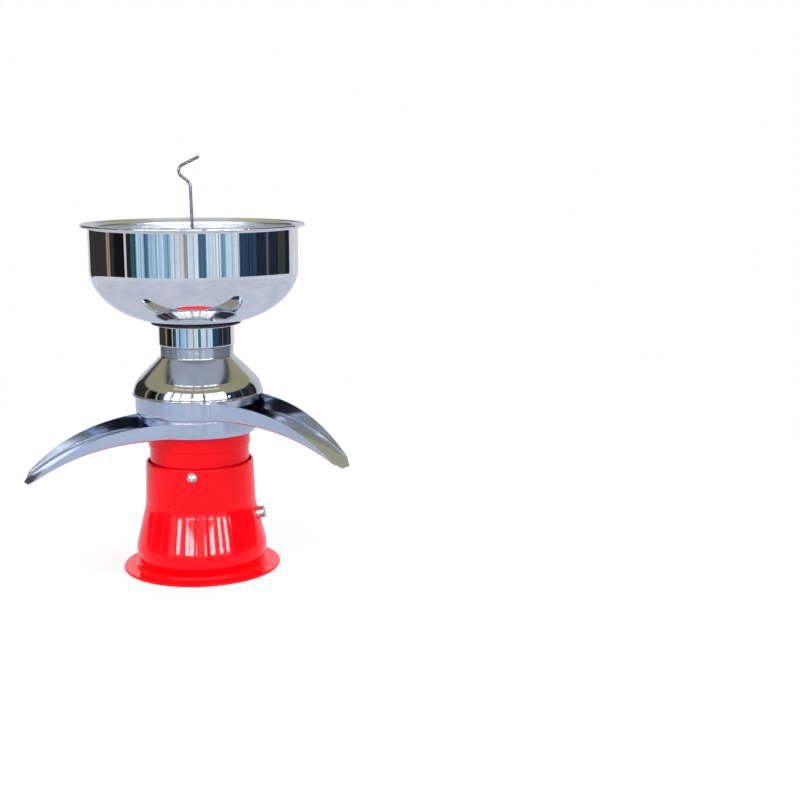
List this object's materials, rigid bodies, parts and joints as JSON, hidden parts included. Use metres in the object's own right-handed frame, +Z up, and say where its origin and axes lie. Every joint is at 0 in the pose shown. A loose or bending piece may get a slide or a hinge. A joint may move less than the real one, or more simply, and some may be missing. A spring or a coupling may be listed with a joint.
{
  "type": "electric cream separator",
  "caption": "Table-top electric cream separator with a bell stand, motor, disc drum, two spouted receivers, a float chamber and a milk bowl with a tap.",
  "frame": {"origin": "centre of the base flange's underside, on the table", "axes": "+Z up along the drum's axis, front at -Y, cream spout towards +X and the front, skim milk spout towards -X and a little to the front"},
  "size_m": [0.4253, 0.3179, 0.5719],
  "materials": {
    "red_paint": "bright gloss",
    "polished_steel": "mirror polished stainless",
    "satin_steel": "satin",
    "zinc": "bright zinc",
    "nickel": "nickel plated",
    "machined_steel": "machined",
    "lamination": "stacked laminations",
    "drum_steel": "turned stainless",
    "disc_steel": "pressed thin sheet",
    "cast_alloy": "as cast",
    "brass": "turned",
    "copper_wire": "enamelled wire",
    "carbon": "pressed carbon",
    "black_rubber": "matt",
    "black_plastic": "moulded",
    "float_plastic": "closed foam"
  },
  "bodies": {
    "stand": {"base_flange": "red_paint", "base_screws": "zinc", "bell_housing": "red_paint", "rim_screws": "zinc", "rim_bushes": "black_rubber", "rim_nuts": "zinc", "motor_casing": "red_paint", "lower_bracket": "cast_alloy", "bracket_screws": "zinc", "stator_core": "lamination", "field_coils": "copper_wire", "brush_holders": "brass", "carbon_brushes": "carbon", "brush_springs": "zinc", "upper_bearing_outer": "machined_steel", "lower_bearing_outer": "machined_steel", "drum_chamber": "red_paint", "switch_body": "nickel", "switch_nut": "nickel", "cable_gland": "black_plastic", "gland_nut": "black_plastic"},
    "drum": {"spindle": "machined_steel", "armature_core": "lamination", "armature_windings": "copper_wire", "commutator": "copper_wire", "cooling_fan": "black_plastic", "upper_bearing_inner": "machined_steel", "lower_bearing_inner": "machined_steel", "drum_base": "drum_steel", "drum_seal_ring": "black_rubber", "disc_holder": "black_plastic", "separating_disc_01": "disc_steel", "separating_disc_02": "disc_steel", "separating_disc_03": "disc_steel", "separating_disc_04": "disc_steel", "separating_disc_05": "disc_steel", "separating_disc_06": "disc_steel", "separating_disc_07": "disc_steel", "separating_disc_08": "disc_steel", "separating_disc_09": "disc_steel", "separating_disc_10": "disc_steel", "top_disc": "drum_steel", "cream_screw": "brass", "drum_cover": "drum_steel", "drum_nut": "brass"},
    "upper_cage": {"upper_bearing_cage": "brass", "upper_bearing_balls": "machined_steel"},
    "lower_cage": {"lower_bearing_cage": "brass", "lower_bearing_balls": "machined_steel"},
    "skim_receiver": {"skim_receiver": "satin_steel"},
    "cream_receiver": {"cream_receiver": "satin_steel"},
    "cover": {"receiver_cover": "polished_steel"},
    "float_chamber": {"float_chamber": "polished_steel", "bowl_cushion_ring": "black_rubber"},
    "float": {"float_body": "float_plastic"},
    "bowl": {"milk_bowl": "polished_steel", "tap_seat": "drum_steel"},
    "tap": {"tap_plug": "brass", "tap_rod": "polished_steel"},
    "button": {"switch_button": "nickel"}
  },
  "joints": [
    {"name": "drum_spin", "type": "hinge", "parent": "stand", "child": "drum", "pos_m": [0, 0, 0.15], "axis": [0, 0, 1], "continuous": true},
    {"name": "upper_cage_turn", "type": "hinge", "parent": "stand", "child": "upper_cage", "pos_m": [0, 0, 0.1085], "axis": [0, 0, 1], "continuous": true},
    {"name": "lower_cage_turn", "type": "hinge", "parent": "stand", "child": "lower_cage", "pos_m": [0, 0, 0.0445], "axis": [0, 0, 1], "continuous": true},
    {"name": "skim_receiver_turn", "type": "hinge", "parent": "stand", "child": "skim_receiver", "pos_m": [0, 0, 0.2], "axis": [0, 0, 1], "continuous": true},
    {"name": "cream_receiver_turn", "type": "hinge", "parent": "skim_receiver", "child": "cream_receiver", "pos_m": [0, 0, 0.23], "axis": [0, 0, 1], "range_deg": [-60, 120]},
    {"name": "cover_lift", "type": "slide", "parent": "cream_receiver", "child": "cover", "axis": [0, 0, 1], "range_m": [0, 0.03]},
    {"name": "float_chamber_lift", "type": "slide", "parent": "cover", "child": "float_chamber", "axis": [0, 0, 1], "range_m": [0, 0.06]},
    {"name": "float_rise", "type": "slide", "parent": "float_chamber", "child": "float", "axis": [0, 0, 1], "range_m": [0, 0.009]},
    {"name": "bowl_lift", "type": "slide", "parent": "float_chamber", "child": "bowl", "axis": [0, 0, 1], "range_m": [0, 0.05]},
    {"name": "tap_turn", "type": "hinge", "parent": "bowl", "child": "tap", "pos_m": [0, 0, 0.35], "axis": [0, 0, 1], "range_deg": [0, 90]},
    {"name": "button_press", "type": "slide", "parent": "stand", "child": "button", "axis": [-0.9502, 0.202, -0.2372], "range_m": [0, 0.002], "stiffness_N_per_m": 600, "springref_m": -0.002}
  ],
  "couplings": [
    {"joint": "upper_cage_turn", "follows": "drum_spin", "ratio": 0.38},
    {"joint": "lower_cage_turn", "follows": "drum_spin", "ratio": 0.37}
  ]
}
